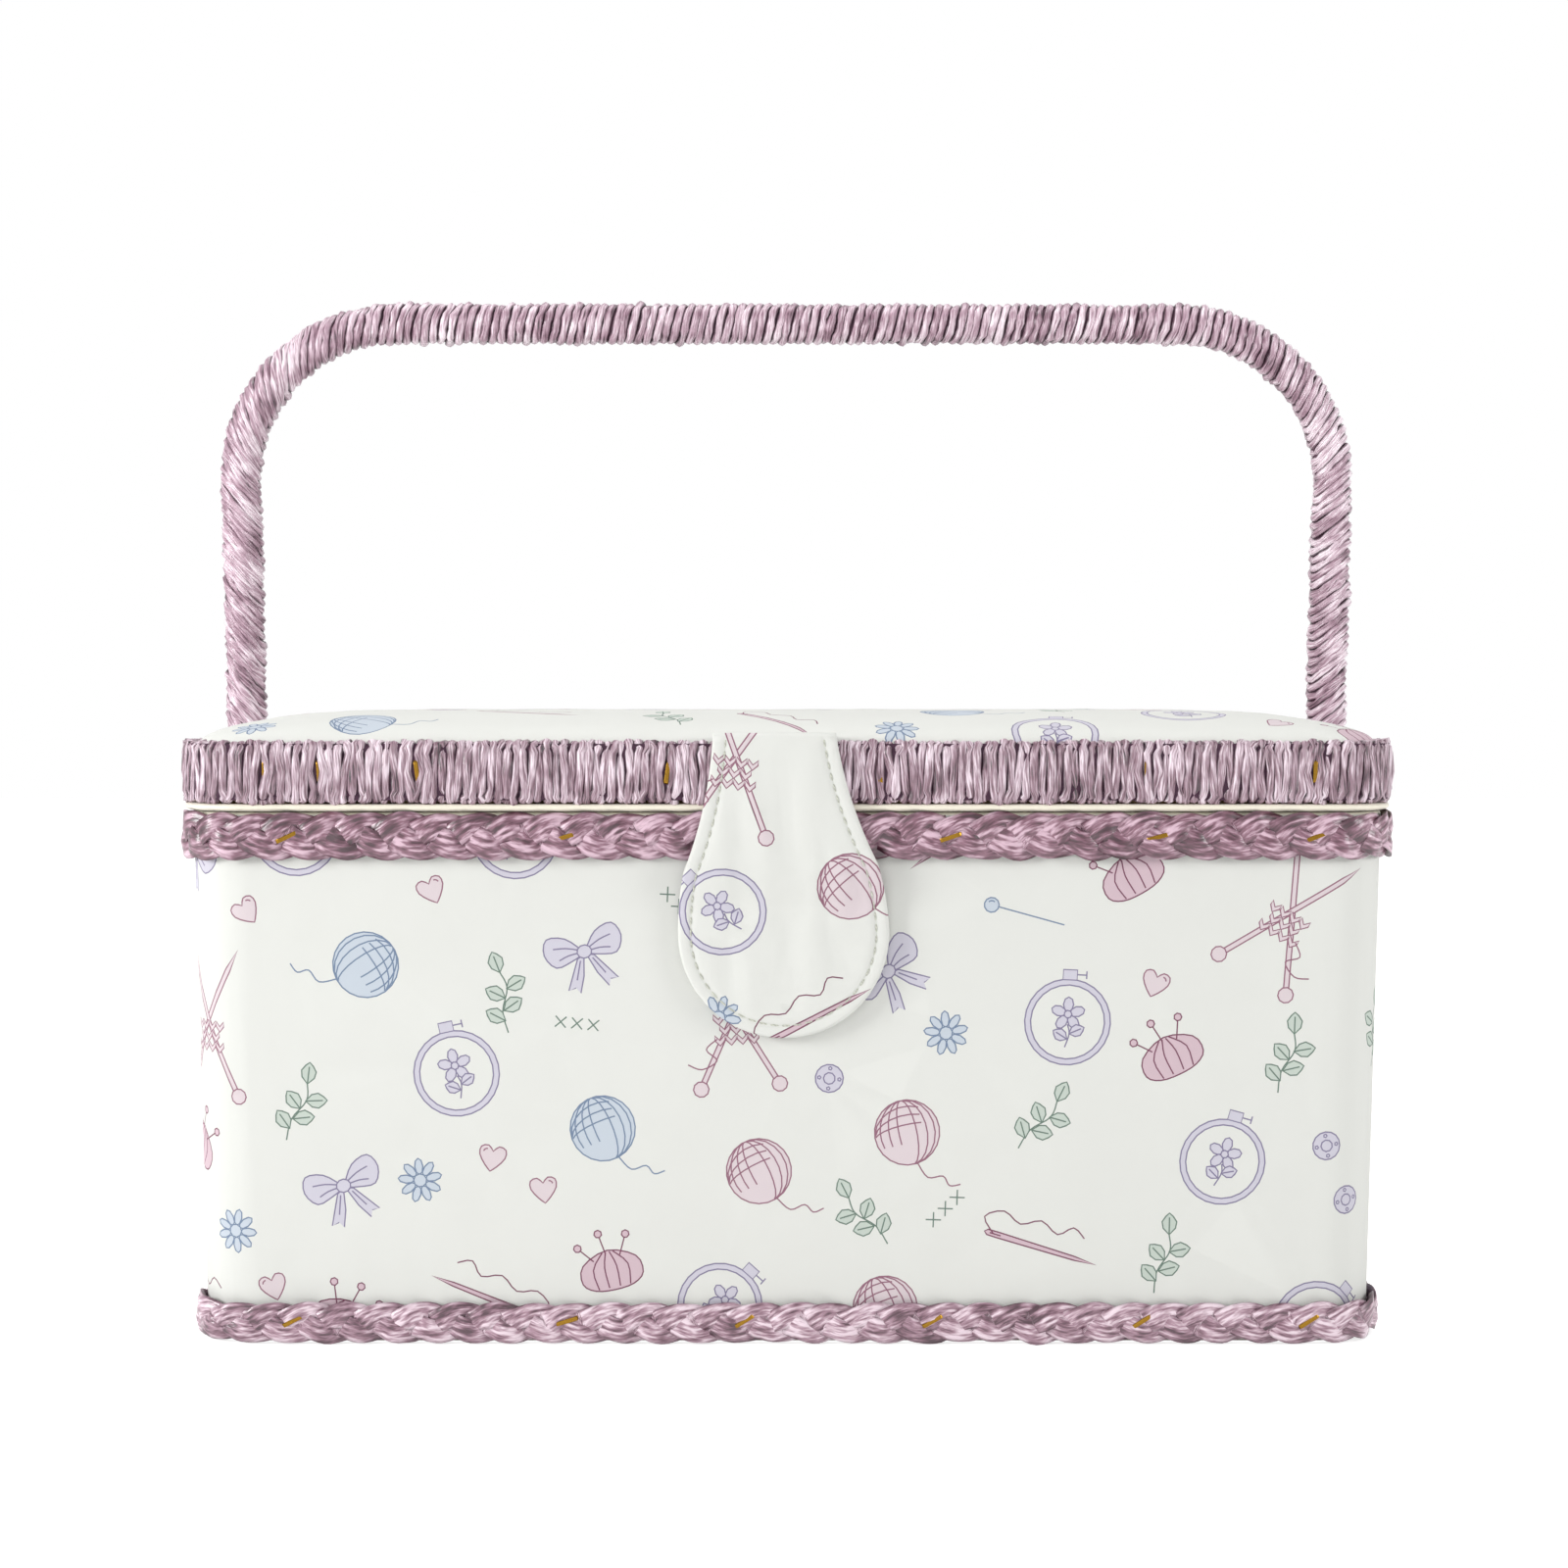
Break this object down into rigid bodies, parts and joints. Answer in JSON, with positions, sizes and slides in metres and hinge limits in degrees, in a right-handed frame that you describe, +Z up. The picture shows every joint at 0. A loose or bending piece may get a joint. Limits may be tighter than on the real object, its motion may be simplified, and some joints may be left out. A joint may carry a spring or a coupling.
{
  "type": "sewing case",
  "caption": "Cloth-covered sewing case with plaited bands, a padded hinged lid, a cord-wound swinging handle, a magnetic cloth tab and a sliding tray.",
  "frame": {"origin": "centre of the underside, on the surface that the case stands on", "axes": "+Z up, -Y the front with the cloth tab, +X to the right seen from the front"},
  "size_m": [0.3486, 0.2522, 0.286],
  "materials": {
    "fibreboard": "raw grey-brown fibreboard",
    "printed_cotton": "plain-weave cotton printed with sewing motifs",
    "cream_lining": "cream satin lining",
    "raffia": "satin paper raffia, mauve",
    "brass": "brass-coloured wire",
    "steel": "nickel-plated steel",
    "foam": "soft polyester wadding",
    "stiffener": "thin polypropylene sheet",
    "softwood": "planed softwood",
    "rattan": "peeled rattan cane",
    "clear_plastic": "translucent white plastic",
    "pincushion_cloth": "mauve satin over stuffing"
  },
  "bodies": {
    "case": {"base_cover": "cream_lining", "base_board": "fibreboard", "base_lining": "cream_lining", "front_wall_board": "fibreboard", "back_wall_board": "fibreboard", "left_wall_board": "fibreboard", "right_wall_board": "fibreboard", "corner_boards": "fibreboard", "outer_cover": "printed_cotton", "wall_lining": "cream_lining", "upper_braid": "raffia", "upper_braid_staples": "brass", "lower_braid": "raffia", "lower_braid_staples": "brass", "tray_rails": "softwood", "case_magnet": "steel", "pivot_rivets": "brass", "pivot_spacers": "brass", "pivot_washers": "brass", "hinge_lower_leaves": "brass", "hinge_pins": "steel", "hinge_lower_screws": "brass"},
    "lid": {"lid_lining_board": "cream_lining", "lid_front_rail": "softwood", "lid_back_rail": "softwood", "lid_side_rails": "softwood", "lid_board": "fibreboard", "lid_pad": "foam", "lid_top_cover": "printed_cotton", "rim_core": "fibreboard", "rim_wrapping": "raffia", "rim_staples": "brass", "hinge_upper_leaves": "brass", "hinge_upper_screws": "brass", "pincushion": "pincushion_cloth", "tab_anchor": "printed_cotton"},
    "tab": {"tab_back_cloth": "printed_cotton", "tab_stiffener": "stiffener", "tab_magnet": "steel", "tab_front_cloth": "printed_cotton"},
    "handle": {"handle_core": "rattan", "handle_wrapping": "raffia", "handle_end_caps": "brass"},
    "tray": {"tray": "clear_plastic"}
  },
  "joints": [
    {"name": "lid_hinge", "type": "hinge", "parent": "case", "child": "lid", "pos_m": [0, 0.125, 0.13615], "axis": [-1, 0, 0], "range_deg": [0, 95]},
    {"name": "handle_swing", "type": "hinge", "parent": "case", "child": "handle", "pos_m": [0, 0, 0.096], "axis": [-1, 0, 0], "range_deg": [0, 88]},
    {"name": "tab_flap", "type": "hinge", "parent": "lid", "child": "tab", "pos_m": [0, -0.12286, 0.1563], "axis": [-1, 0, 0], "range_deg": [0, 150]},
    {"name": "tray_slide", "type": "slide", "parent": "case", "child": "tray", "axis": [1, 0, 0], "range_m": [0, 0.1431]}
  ],
  "couplings": [
    {"joint": "handle_swing", "follows": "lid_hinge", "ratio": 0.92}
  ]
}
